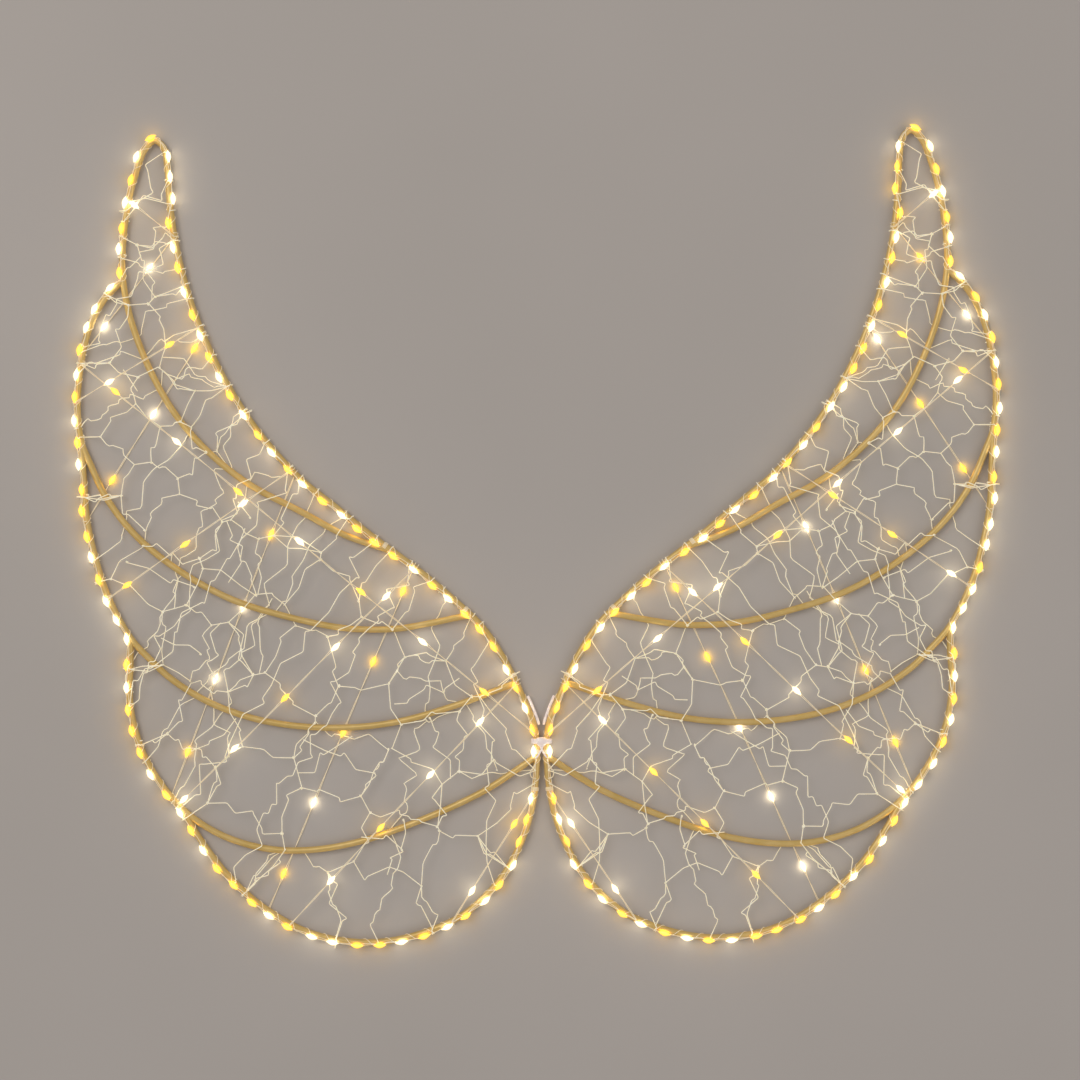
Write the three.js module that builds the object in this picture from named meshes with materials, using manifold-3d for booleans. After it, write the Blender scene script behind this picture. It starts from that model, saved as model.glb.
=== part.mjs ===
// A pair of lit wire wings, lying flat on their backs: each has five bent gold rods, a web of crinkled
// wire over its ribs, straight strands of small lights and a string of lights along its outline. One clear
// tie holds both wings together at the foot.
// Millimetres. +X runs towards the right wing, +Y up the wings and +Z out of their front.
import * as THREE from "three";
import { mergeVertices } from "three/addons/utils/BufferGeometryUtils.js";
import Module from "manifold-3d";

const wasm = await Module();
wasm.setup();

// The wings. Lengths are measured from the foot, where both leading rods pass through the tie.
const WING_REACH = 304;
const WING_RISE = 396;
const WING_DROP = 133;
const RIGHT_WING_TURN = THREE.MathUtils.degToRad(1.6);

// Rods, wires and strings of lights.
const ROD_DIAMETER = 4.3;
const FOOT_GAP = 1.7;
const STRAND_DIAMETER = 0.9;
const EDGE_STRING_DIAMETER = 3.8;
const WEB_THICKNESS = 1;
const WEB_WIRE_WIDTH = 1.2;

// The clear tie and the sleeves beside it.
const BAND_WIDTH = 3.3;
const BAND_THICKNESS = 0.9;
const KNOT_WIDTH = 8;
const KNOT_LENGTH = 6.2;
const KNOT_HEIGHT = 5.2;
const TAIL_DIAMETER = 1.2;
const TAIL_LENGTH = 11;
const TAIL_SPREAD = 3.7;
const SLEEVE_DIAMETER = 1.9;
const SLEEVE_LENGTH = 20;

// Room left between neighbouring pieces.
const CLEARANCE = 0.3;

// How finely the curved pieces are divided.
const STATION_STEP = 34;
const STATION_TURN = THREE.MathUtils.degToRad(24);
const ROD_SIDES = 8;
const STRAND_SIDES = 8;
const TAIL_SIDES = 6;
const KNOT_SIDES = 8;
const KNOT_RINGS = 5;
const BAND_BEND_STEPS = 8;
const SLEEVE_STEPS = 4;
const SPLICE = 1.2;
const MEETING_STATIONS = 2;

// Heights of the layers, from the surface that the wings lie on.
const REAR_STRAND_Z = STRAND_DIAMETER / 2;
const ROD_Z = STRAND_DIAMETER + CLEARANCE + ROD_DIAMETER / 2;
const WEB_Z = ROD_Z + ROD_DIAMETER / 2 + CLEARANCE;
const EDGE_STRING_Z = WEB_Z + EDGE_STRING_DIAMETER / 2;
const FRONT_STRAND_Z = WEB_Z + WEB_THICKNESS + CLEARANCE + STRAND_DIAMETER / 2;
const OVER_STRAND_Z = FRONT_STRAND_Z + STRAND_DIAMETER + CLEARANCE;

// Half the distance between the leading rods' centre lines at the foot.
const FOOT_X = (ROD_DIAMETER + FOOT_GAP) / 2;

// Half the band's outer length: past both rods, with room for their slant inside it.
const BAND_HALF_LENGTH = FOOT_X + ROD_DIAMETER / 2 + 3 * CLEARANCE + BAND_THICKNESS;

// The rods, one row for each feather. Every point is [out, up]: out is a share of the wing's reach, up a
// share of its rise, or below the foot a share of its drop. A rod bounds its feather through the points
// of outer, and runs on into the wing through those of rib. The next one springs from its last outer point.
const FEATHERS = [
  {
    outer: [
      [0, 0], [0.009, 0.032], [0.031, 0.073], [0.072, 0.137], [0.119, 0.19], [0.18, 0.235],
      [0.262, 0.287], [0.356, 0.34], [0.436, 0.389], [0.514, 0.437], [0.597, 0.507], [0.654, 0.57],
      [0.705, 0.642], [0.749, 0.725], [0.781, 0.815], [0.797, 0.895], [0.803, 0.96], [0.811, 0.99],
      [0.83, 1.001], [0.851, 0.987], [0.872, 0.945], [0.89, 0.888], [0.9, 0.818], [0.899, 0.768],
    ],
    rib: [
      [0.88, 0.697], [0.837, 0.613], [0.781, 0.54], [0.707, 0.477], [0.623, 0.427], [0.514, 0.383],
      [0.416, 0.343], [0.317, 0.317],
    ],
  },
  {
    outer: [[0.938, 0.738], [0.97, 0.693], [0.989, 0.635], [0.998, 0.563], [0.99, 0.5]],
    rib: [
      [0.972, 0.465], [0.935, 0.405], [0.872, 0.343], [0.783, 0.287], [0.666, 0.237], [0.536, 0.206],
      [0.416, 0.188], [0.308, 0.187], [0.228, 0.197], [0.143, 0.211],
    ],
  },
  {
    outer: [[0.984, 0.435], [0.978, 0.372], [0.96, 0.308], [0.933, 0.243], [0.883, 0.172]],
    rib: [
      [0.839, 0.135], [0.792, 0.102], [0.705, 0.062], [0.59, 0.033], [0.449, 0.022], [0.317, 0.03],
      [0.182, 0.058], [0.046, 0.097],
    ],
  },
  {
    outer: [[0.883, 0.127], [0.885, 0.077], [0.874, 0.022], [0.844, -0.114], [0.772, -0.333]],
    rib: [
      [0.688, -0.464], [0.59, -0.533], [0.492, -0.541], [0.38, -0.496], [0.249, -0.39],
      [0.115, -0.248], [0.003, -0.079],
    ],
  },
  {
    outer: [
      [0.731, -0.489], [0.672, -0.665], [0.597, -0.821], [0.49, -0.955], [0.369, -1], [0.265, -0.965],
      [0.158, -0.859], [0.08, -0.687], [0.035, -0.506], [0.009, -0.308], [0.001, -0.139], [0, 0],
    ],
    rib: [],
  },
];
const LEADING = 0;
const LOWEST = FEATHERS.length - 1;

// The straight strands of lights. Each runs between two places on the outline, given as shares of the way
// round it from the foot, up the leading rod and back. Rear ones pass under the rods, front ones over the
// web, and the longest one over those.
const STRANDS = [
  { name: "a", from: 0.186, to: 0.721, level: REAR_STRAND_Z },
  { name: "b", from: 0.727, to: 0.109, level: FRONT_STRAND_Z },
  { name: "c", from: 0.11, to: 0.797, level: REAR_STRAND_Z },
  { name: "d", from: 0.031, to: 0.81, level: FRONT_STRAND_Z },
  { name: "e", from: 0.004, to: 0.494, level: OVER_STRAND_Z },
  { name: "f", from: 0.188, to: 0.614, level: FRONT_STRAND_Z },
  { name: "g", from: 0.27, to: 0.573, level: REAR_STRAND_Z },
  { name: "h", from: 0.322, to: 0.489, level: REAR_STRAND_Z },
  { name: "i", from: 0.274, to: 0.514, level: FRONT_STRAND_Z },
  { name: "j", from: 0.321, to: 0.406, level: FRONT_STRAND_Z },
  { name: "k", from: 0.975, to: 0.895, level: FRONT_STRAND_Z },
];

// The web's meshes lie in rows across the wing: along is the row's share of the way from the foot to the
// tip, and meshes is how many lie side by side in it.
const WEB_ROWS = [
  { along: 0.08, meshes: 2 }, { along: 0.155, meshes: 4 }, { along: 0.23, meshes: 6 },
  { along: 0.305, meshes: 6 }, { along: 0.38, meshes: 6 }, { along: 0.45, meshes: 6 },
  { along: 0.52, meshes: 5 }, { along: 0.585, meshes: 5 }, { along: 0.65, meshes: 4 },
  { along: 0.71, meshes: 4 }, { along: 0.77, meshes: 3 }, { along: 0.83, meshes: 2 },
  { along: 0.885, meshes: 2 }, { along: 0.94, meshes: 1 },
];
const WEB_UNEVENNESS = 0.55;

const goldRod = new THREE.MeshStandardMaterial({ color: 0xc9962f, roughness: 0.35, metalness: 0.9 });
const paleWire = new THREE.MeshStandardMaterial({ color: 0xe3cfa0, roughness: 0.4, metalness: 0.8 });
const lightString = new THREE.MeshStandardMaterial({ color: 0xf0c25a, roughness: 0.45, metalness: 0.3 });
const lightWire = new THREE.MeshStandardMaterial({ color: 0xd8c49a, roughness: 0.4, metalness: 0.7 });
const clearPlastic = new THREE.MeshStandardMaterial({ color: 0xf1e8e2, roughness: 0.3, metalness: 0 });

// A path with one station for each ring of a tube's section, straight in between.
class StationPath extends THREE.Curve {
  constructor(stations) {
    super();
    this.stations = stations;
  }

  getUtoTmapping(share) {
    return share;
  }

  getPoint(share, target = new THREE.Vector3()) {
    const place = share * (this.stations.length - 1);
    const before = Math.min(Math.floor(place), this.stations.length - 2);
    return target.lerpVectors(this.stations[before], this.stations[before + 1], place - before);
  }

  getTangent(share, target = new THREE.Vector3()) {
    const last = this.stations.length - 1;
    const here = Math.round(share * last);
    const after = this.stations[Math.min(here + 1, last)];
    const arriving = direction(this.stations[Math.max(here - 1, 0)], this.stations[Math.max(here, 1)]);
    const leaving = direction(this.stations[Math.min(here, last - 1)], after);
    return target.addVectors(arriving, leaving).normalize();
  }
}

function direction(from, to) {
  return new THREE.Vector3().subVectors(to, from).normalize();
}

function roundSection(radius, sides) {
  const corners = [];
  for (let side = 0; side < sides; side += 1) {
    const angle = (side / sides) * 2 * Math.PI;
    corners.push(new THREE.Vector2(radius * Math.cos(angle), radius * Math.sin(angle)));
  }
  return new THREE.Shape(corners);
}

function tube(stations, radius, sides) {
  return new THREE.ExtrudeGeometry(roundSection(radius, sides), {
    steps: stations.length - 1,
    bevelEnabled: false,
    extrudePath: new StationPath(stations),
  });
}

function solidOf(geometry) {
  const bare = geometry.clone();
  bare.deleteAttribute("normal");
  bare.deleteAttribute("uv");
  const merged = mergeVertices(bare);
  return new wasm.Manifold(new wasm.Mesh({
    numProp: 3,
    vertProperties: new Float32Array(merged.attributes.position.array),
    triVerts: new Uint32Array(merged.index.array),
  }));
}

function geometryOf(solid) {
  const mesh = solid.getMesh();
  const geometry = new THREE.BufferGeometry();
  geometry.setAttribute("position", new THREE.BufferAttribute(mesh.vertProperties, 3));
  geometry.setIndex(Array.from(mesh.triVerts));
  geometry.computeVertexNormals();
  return geometry;
}

function named(name, geometry, material) {
  const mesh = new THREE.Mesh(geometry, material);
  mesh.name = name;
  return mesh;
}

// A point of the wing on the given side (-1 left, 1 right) from its shares of reach and rise or drop.
function wingPoint(side, [out, up], z) {
  const height = up > 0 ? up * WING_RISE : up * WING_DROP;
  return new THREE.Vector3(side * (FOOT_X + out * WING_REACH), height, z);
}

// Stations on a smooth curve through the points, closer together where it turns. The places of the points
// themselves among the stations come back too.
function stationsThrough(points) {
  const curve = new THREE.CatmullRomCurve3(points, false, "centripetal");
  const spans = points.length - 1;
  const stations = [points[0].clone()];
  const places = [0];
  for (let span = 0; span < spans; span += 1) {
    const turn = curve.getTangent(span / spans).angleTo(curve.getTangent((span + 1) / spans));
    const length = points[span].distanceTo(points[span + 1]);
    const steps = Math.ceil(Math.max(length / STATION_STEP, turn / STATION_TURN));
    for (let step = 1; step <= steps; step += 1) {
      stations.push(curve.getPoint((span + step / steps) / spans));
    }
    places.push(stations.length - 1);
  }
  return { stations, places };
}

// Every rod's stations on one side, with the place of the joint where the next rod springs from it.
function rodPaths(side) {
  const paths = [];
  for (const { outer, rib } of FEATHERS) {
    const previous = paths.at(-1);
    const points = [...outer, ...rib].map((shares) => wingPoint(side, shares, ROD_Z));
    if (previous) points.unshift(previous.stations[previous.joint].clone());
    const { stations, places } = stationsThrough(points);
    paths.push({ stations, joint: places[points.length - 1 - rib.length] });
  }
  return paths;
}

// The wing's outline as a measured line from the foot, up the leading rod, round the tip and back.
function outlineOf(paths) {
  const points = [paths[LEADING].stations[0]];
  for (const { stations, joint } of paths) points.push(...stations.slice(1, joint + 1));
  const reached = [0];
  for (let place = 1; place < points.length; place += 1) {
    reached.push(reached[place - 1] + points[place].distanceTo(points[place - 1]));
  }
  const length = reached.at(-1);
  const tipPlace = points.reduce((best, point, place) => (point.y > points[best].y ? place : best), 0);
  return { points, reached, length, tipShare: reached[tipPlace] / length };
}

// The point at a distance along the outline, its direction there, and the place of the station before it.
function along(outline, distance) {
  const { points, reached } = outline;
  let place = 0;
  while (place < points.length - 2 && reached[place + 1] < distance) place += 1;
  const share = (distance - reached[place]) / (reached[place + 1] - reached[place]);
  return {
    point: points[place].clone().lerp(points[place + 1], share),
    heading: direction(points[place], points[place + 1]),
    place,
  };
}

// The direction across a heading, in the wing's plane: towards its middle for inward, or away from it.
function across(heading, side) {
  return new THREE.Vector3(side * heading.y, -side * heading.x, 0);
}

// How far a point is from the outline, seen from the front.
function distanceFromOutline(outline, point) {
  const flat = point.clone().setZ(ROD_Z);
  const nearest = new THREE.Vector3();
  const distances = outline.points.slice(1).map((end, place) => {
    new THREE.Line3(outline.points[place], end).closestPointToPoint(flat, true, nearest);
    return nearest.distanceTo(flat);
  });
  return Math.min(...distances);
}

// The corners without those that crowd the one before them.
function apart(corners) {
  return corners.filter((corner, place) => corner.distanceTo(corners.at(place - 1)) > CLEARANCE);
}

// The outline moved into the wing by a distance, as flat points. In the sharp corner at the foot the two
// sides meet sooner, and the points that would lie past there are left out.
function insideOutline(outline, side, distance) {
  const corners = outline.points.slice(0, -1);
  const moved = corners.map((corner, place) => {
    const before = corners[(place + corners.length - 1) % corners.length];
    const after = corners[(place + 1) % corners.length];
    const first = across(direction(before, corner), side);
    const second = across(direction(corner, after), side);
    const mitre = first.clone().add(second).multiplyScalar(distance / (1 + first.dot(second)));
    return corner.clone().add(mitre);
  });
  const inside = moved.filter((point) => distanceFromOutline(outline, point) > distance - CLEARANCE / 2);
  return apart(inside.map((point) => new THREE.Vector2(point.x, point.y)));
}

// The part of a rod near a point, thickened by the clearance, for shaping a neighbour that meets it there.
function roomAround(stations, point) {
  const distances = stations.map((station) => station.distanceTo(point));
  const nearest = distances.indexOf(Math.min(...distances));
  const first = Math.max(nearest - MEETING_STATIONS, 0);
  const stretch = stations.slice(first, nearest + MEETING_STATIONS + 1);
  const start = stretch[0].clone().addScaledVector(direction(stretch[1], stretch[0]), CLEARANCE);
  const end = stretch.at(-1).clone().addScaledVector(direction(stretch.at(-2), stretch.at(-1)), CLEARANCE);
  return solidOf(tube([start, ...stretch, end], ROD_DIAMETER / 2 + CLEARANCE, ROD_SIDES));
}

// The leading rod goes up to the tip, round it and down its feather, and comes back into its own leading
// edge as the first rib, so it is joined from two tubes that cross at the tip.
function leadingRod({ stations }) {
  const tip = stations.reduce((best, station, place) => (station.y > stations[best].y ? place : best), 0);
  const rising = stations.slice(0, tip + 1);
  const falling = stations.slice(tip);
  rising.push(stations[tip].clone().addScaledVector(direction(stations[tip - 1], stations[tip]), SPLICE));
  falling.unshift(stations[tip].clone().addScaledVector(direction(stations[tip + 1], stations[tip]), SPLICE));
  const radius = ROD_DIAMETER / 2;
  return solidOf(tube(rising, radius, ROD_SIDES)).add(solidOf(tube(falling, radius, ROD_SIDES)));
}

// The stations with both end ones moved in along the path.
function shortened(stations, distance) {
  const start = stations[0].clone().addScaledVector(direction(stations[0], stations[1]), distance);
  const end = stations.at(-1).clone().addScaledVector(direction(stations.at(-1), stations.at(-2)), distance);
  return [start, ...stations.slice(1, -1), end];
}

// A later rod springs from the one before it, and its far end meets the leading rod, or for the last rib
// the lowest rod. It is shaped round both with a small gap.
function springingRod(paths, number) {
  const { stations } = paths[number];
  const bar = solidOf(tube(shortened(stations, ROD_DIAMETER / 4), ROD_DIAMETER / 2, ROD_SIDES));
  const carrier = number === LOWEST - 1 ? paths[LOWEST] : paths[LEADING];
  const root = roomAround(paths[number - 1].stations, stations[0]);
  const seat = roomAround(carrier.stations.slice(0, carrier.joint + 1), stations.at(-1));
  return bar.subtract(root).subtract(seat);
}

function rods(side, label) {
  const paths = rodPaths(side);
  return paths.map((path, number) => {
    const solid = number === LEADING ? leadingRod(path) : springingRod(paths, number);
    return named(`wing_rod_${label}_${number + 1}`, geometryOf(solid), goldRod);
  });
}

// The string of lights lies on the outline rods, and stops at either side of the knot.
function edgeString(outline, label) {
  const start = KNOT_LENGTH / 2 + CLEARANCE;
  const first = along(outline, start);
  const last = along(outline, outline.length - start);
  const between = outline.points.slice(first.place + 1, last.place + 1);
  const stations = [first.point, ...between, last.point].map((point) => point.clone().setZ(EDGE_STRING_Z));
  const string = tube(stations, EDGE_STRING_DIAMETER / 2, ROD_SIDES);
  return named(`edge_light_string_${label}`, string, lightString);
}

// Where a strand ends: under the outline rod for a rear one, and for the others as soon as they are clear of
// the string of lights on that rod.
function strandEnd(outline, share, towards, level) {
  const end = along(outline, share * outline.length).point;
  const step = direction(end, towards).multiplyScalar(CLEARANCE);
  const room = (EDGE_STRING_DIAMETER + STRAND_DIAMETER) / 2 + CLEARANCE;
  while (level !== REAR_STRAND_Z && distanceFromOutline(outline, end) < room) end.add(step);
  return end.setZ(level);
}

function strands(outline, label) {
  return STRANDS.map(({ name, from, to, level }) => {
    const start = along(outline, from * outline.length).point;
    const end = along(outline, to * outline.length).point;
    const stations = [
      strandEnd(outline, from, end, level),
      strandEnd(outline, to, start, level),
    ];
    const geometry = tube(stations, STRAND_DIAMETER / 2, STRAND_SIDES);
    return named(`light_strand_${label}_${name}`, geometry, lightWire);
  });
}

// An even spread of numbers between -0.5 and 0.5 that is the same every time.
function unevenness(row, mesh, kind) {
  const mixed = Math.sin(row * 12.9898 + mesh * 78.233 + kind * 37.719) * 43758.5453;
  return mixed - Math.floor(mixed) - 0.5;
}

// The middles of the web's meshes. A row runs from the leading rod to the far side of the outline.
function meshMiddles(outline) {
  const middles = [];
  WEB_ROWS.forEach(({ along: share, meshes }, row) => {
    const rowStep = 1 / (WEB_ROWS.length + 1);
    for (let mesh = 0; mesh < meshes; mesh += 1) {
      const place = share + unevenness(row, mesh, 1) * WEB_UNEVENNESS * rowStep;
      const part = (mesh + 0.5 + unevenness(row, mesh, 2) * WEB_UNEVENNESS) / meshes;
      const front = along(outline, place * outline.tipShare * outline.length).point;
      const far = along(outline, (1 - place * (1 - outline.tipShare)) * outline.length).point;
      middles.push(new THREE.Vector2(front.x, front.y).lerp(new THREE.Vector2(far.x, far.y), part));
    }
  });
  return middles;
}

// What is left of a flat outline on the near side of a line through a point, across the given way.
function cutFlat(corners, point, way) {
  const kept = [];
  corners.forEach((corner, place) => {
    const next = corners[(place + 1) % corners.length];
    const depth = corner.clone().sub(point).dot(way);
    const nextDepth = next.clone().sub(point).dot(way);
    if (depth <= 0) kept.push(corner);
    if (depth * nextDepth < 0) kept.push(corner.clone().lerp(next, depth / (depth - nextDepth)));
  });
  return kept;
}

// The gap of the web round one middle: everything nearer to it than to any other, less half a wire.
function meshGap(middle, middles) {
  const size = WING_REACH;
  let corners = [[-1, -1], [1, -1], [1, 1], [-1, 1]].map(
    ([x, y]) => new THREE.Vector2(middle.x + x * size, middle.y + y * size),
  );
  for (const other of middles) {
    if (other === middle) continue;
    const way = other.clone().sub(middle).normalize();
    const halfway = other.clone().add(middle).multiplyScalar(0.5);
    corners = cutFlat(corners, halfway.addScaledVector(way, -WEB_WIRE_WIDTH / 2), way);
  }
  return new THREE.Shape(apart(corners));
}

// A flat piece of the given outlines, standing on a height.
function plate(shapes, bottom, thickness) {
  const geometry = new THREE.ExtrudeGeometry(shapes, { depth: thickness, bevelEnabled: false });
  return solidOf(geometry.translate(0, 0, bottom));
}

// The web lies over the ribs, inside the string of lights, and leaves room for the tie at the foot.
function web(outline, side, label) {
  const border = EDGE_STRING_DIAMETER / 2 + CLEARANCE;
  const rim = new THREE.Shape(insideOutline(outline, side, border));
  const inner = new THREE.Shape(insideOutline(outline, side, border + WEB_WIRE_WIDTH));
  const middles = meshMiddles(outline);
  const gaps = middles.map((middle) => meshGap(middle, middles));
  const cutBottom = WEB_Z - WEB_THICKNESS;
  const cutThickness = 3 * WEB_THICKNESS;
  const openings = plate(gaps, cutBottom, cutThickness).intersect(plate([inner], cutBottom, cutThickness));
  const tieRoom = new THREE.BoxGeometry(
    2 * (BAND_HALF_LENGTH + CLEARANCE),
    BAND_WIDTH + 2 * CLEARANCE,
    2 * (WEB_Z + WEB_THICKNESS + CLEARANCE),
  );
  const solid = plate([rim], WEB_Z, WEB_THICKNESS).subtract(openings).subtract(solidOf(tieRoom));
  return named(`crinkle_web_${label}`, geometryOf(solid), paleWire);
}

// A clear sleeve lies against the leading rod on the side that faces the other wing, and starts where both
// wings' sleeves have room side by side.
function sleeve(outline, side, label) {
  const offset = (ROD_DIAMETER + SLEEVE_DIAMETER) / 2 + CLEARANCE;
  const room = offset + SLEEVE_DIAMETER / 2 + 2 * CLEARANCE;
  const start = outline.points.findIndex((point) => Math.abs(point.x) > room) - 1;
  const before = outline.points[start];
  const after = outline.points[start + 1];
  const share = (room - Math.abs(before.x)) / (Math.abs(after.x) - Math.abs(before.x));
  const startDistance = outline.reached[start] + share * before.distanceTo(after);
  const stations = [];
  for (let step = 0; step <= SLEEVE_STEPS; step += 1) {
    const { point, heading } = along(outline, startDistance + (step / SLEEVE_STEPS) * SLEEVE_LENGTH);
    stations.push(point.addScaledVector(across(heading, side), -offset));
  }
  return named(`lead_sleeve_${label}`, tube(stations, SLEEVE_DIAMETER / 2, ROD_SIDES), clearPlastic);
}

function wing(side, label) {
  const outline = outlineOf(rodPaths(side));
  const group = new THREE.Group();
  group.add(...rods(side, label));
  group.add(web(outline, side, label));
  group.add(edgeString(outline, label));
  group.add(...strands(outline, label));
  group.add(sleeve(outline, side, label));
  return group;
}

// A flat ring of the band round both leading rods, grown by a distance.
function bandOutline(shape, grown) {
  const radius = ROD_DIAMETER / 2 + CLEARANCE + grown;
  const middle = BAND_HALF_LENGTH - BAND_THICKNESS - ROD_DIAMETER / 2 - CLEARANCE;
  shape.absarc(middle, 0, radius, -Math.PI / 2, Math.PI / 2, false);
  shape.absarc(-middle, 0, radius, Math.PI / 2, 1.5 * Math.PI, false);
  return shape;
}

// The tie: a band round both rods, a knot in front of it and two tails that cross below.
function centreTie() {
  const ring = bandOutline(new THREE.Shape(), BAND_THICKNESS);
  ring.holes.push(bandOutline(new THREE.Path(), 0));
  const band = new THREE.ExtrudeGeometry(ring, {
    depth: BAND_WIDTH,
    bevelEnabled: false,
    curveSegments: BAND_BEND_STEPS,
  });
  band.translate(0, 0, -BAND_WIDTH / 2).rotateX(Math.PI / 2).translate(0, 0, ROD_Z);

  const knotZ = WEB_Z - CLEARANCE / 2 + KNOT_HEIGHT / 2;
  const knot = new THREE.SphereGeometry(0.5, KNOT_SIDES, KNOT_RINGS);
  knot.scale(KNOT_WIDTH, KNOT_LENGTH, KNOT_HEIGHT).translate(0, 0, knotZ);

  const tailZ = WEB_Z + EDGE_STRING_DIAMETER + CLEARANCE + TAIL_DIAMETER / 2;
  const tails = [-1, 1].map((way) => tube(
    [
      new THREE.Vector3(way * TAIL_DIAMETER, 0, knotZ),
      new THREE.Vector3(0, -TAIL_LENGTH / 2, tailZ),
      new THREE.Vector3(-way * TAIL_SPREAD, -TAIL_LENGTH, tailZ),
    ],
    TAIL_DIAMETER / 2,
    TAIL_SIDES,
  ));
  const solid = [knot, ...tails].reduce((whole, piece) => whole.add(solidOf(piece)), solidOf(band));
  return named("centre_tie", geometryOf(solid), clearPlastic);
}

const wings = new THREE.Group();
const leftWing = wing(-1, "left");
const rightWing = wing(1, "right");
rightWing.rotation.z = RIGHT_WING_TURN;
wings.add(leftWing, rightWing, centreTie());

// The origin is the middle of the surface that the wings lie on.
wings.updateMatrixWorld(true);
const middle = new THREE.Box3().setFromObject(wings, true).getCenter(new THREE.Vector3());
wings.position.set(-middle.x, -middle.y, 0);

export default wings;
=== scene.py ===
"""A pair of lit wire wings lying flat on a pale floor, seen from straight above.

Sizes in the tables and names below are millimetres, measured from the tie that joins both wings at the
foot, with x to the right, y up the wings and z out of their front. The left wing is shaped first. The
right one is its mirror image, turned a little more upright.
"""
import math
import random

import bpy
import numpy as np
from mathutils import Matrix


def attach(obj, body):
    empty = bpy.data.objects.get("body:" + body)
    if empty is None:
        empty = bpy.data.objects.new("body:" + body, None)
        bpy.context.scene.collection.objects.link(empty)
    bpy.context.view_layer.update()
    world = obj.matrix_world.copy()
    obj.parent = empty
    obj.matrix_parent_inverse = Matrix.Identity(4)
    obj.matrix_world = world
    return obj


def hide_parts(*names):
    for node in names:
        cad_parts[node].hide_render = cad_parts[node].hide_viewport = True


MM = 0.001
SIDES = ("left", "right")

# The wings, measured from the foot.
WING_REACH = 304.0
WING_RISE = 396.0
WING_DROP = 133.0
FOOT_X = 3.0
RIGHT_WING_TURN = math.radians(1.6)
TIE_PLACE = (3.173, -135.328)

# Rods, wires and drops of light.
ROD_RADIUS = 2.15
ROD_Z = 3.35
ROD_SIDES = 18
ROD_STEP = 2.5
WEB_WIRE_RADIUS = 0.34
WEB_Z = 6.35
BEHIND_Z = 0.55
FINE_WIRE_RADIUS = 0.24
FINE_WIRE_SPREAD = 0.34
FINE_WIRE_SIDES = 5
DROP_LENGTH = 9.0
DROP_WIDTH = 3.6
DROP_THICKNESS = 3.1
DROP_SIDES = 12
DROP_RINGS = 11
DROP_SPAN = (0.04, 0.96)
DROP_ROUNDNESS = 1.25
EDGE_DROP_PITCH = 15.2
LOWEST_DROP_Z = 1.75

# The rods, one row for each feather: the shares of reach and of rise (or, below the foot, of drop) that it
# passes through along the outline, and then along its rib.
FEATHERS = [
    {
        "outer": [
            (0, 0), (0.009, 0.032), (0.031, 0.073), (0.072, 0.137), (0.119, 0.19), (0.18, 0.235),
            (0.262, 0.287), (0.356, 0.34), (0.436, 0.389), (0.514, 0.437), (0.597, 0.507), (0.654, 0.57),
            (0.705, 0.642), (0.749, 0.725), (0.781, 0.815), (0.797, 0.895), (0.803, 0.96), (0.811, 0.99),
            (0.83, 1.001), (0.851, 0.987), (0.872, 0.945), (0.89, 0.888), (0.9, 0.818), (0.899, 0.768),
        ],
        "rib": [
            (0.88, 0.697), (0.837, 0.613), (0.781, 0.54), (0.707, 0.477), (0.623, 0.427), (0.514, 0.383),
            (0.416, 0.343), (0.317, 0.317),
        ],
    },
    {
        "outer": [(0.938, 0.738), (0.97, 0.693), (0.989, 0.635), (0.998, 0.563), (0.99, 0.5)],
        "rib": [
            (0.972, 0.465), (0.935, 0.405), (0.872, 0.343), (0.783, 0.287), (0.666, 0.237), (0.536, 0.206),
            (0.416, 0.188), (0.308, 0.187), (0.228, 0.197), (0.143, 0.211),
        ],
    },
    {
        "outer": [(0.984, 0.435), (0.978, 0.372), (0.96, 0.308), (0.933, 0.243), (0.883, 0.172)],
        "rib": [
            (0.839, 0.135), (0.792, 0.102), (0.705, 0.062), (0.59, 0.033), (0.449, 0.022), (0.317, 0.03),
            (0.182, 0.058), (0.046, 0.097),
        ],
    },
    {
        "outer": [(0.883, 0.127), (0.885, 0.077), (0.874, 0.022), (0.844, -0.114), (0.772, -0.333)],
        "rib": [
            (0.688, -0.464), (0.59, -0.533), (0.492, -0.541), (0.38, -0.496), (0.249, -0.39),
            (0.115, -0.248), (0.003, -0.079),
        ],
    },
    {
        "outer": [
            (0.731, -0.489), (0.672, -0.665), (0.597, -0.821), (0.49, -0.955), (0.369, -1), (0.265, -0.965),
            (0.158, -0.859), (0.08, -0.687), (0.035, -0.506), (0.009, -0.308), (0.001, -0.139), (0, 0),
        ],
        "rib": [],
    },
]

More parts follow.
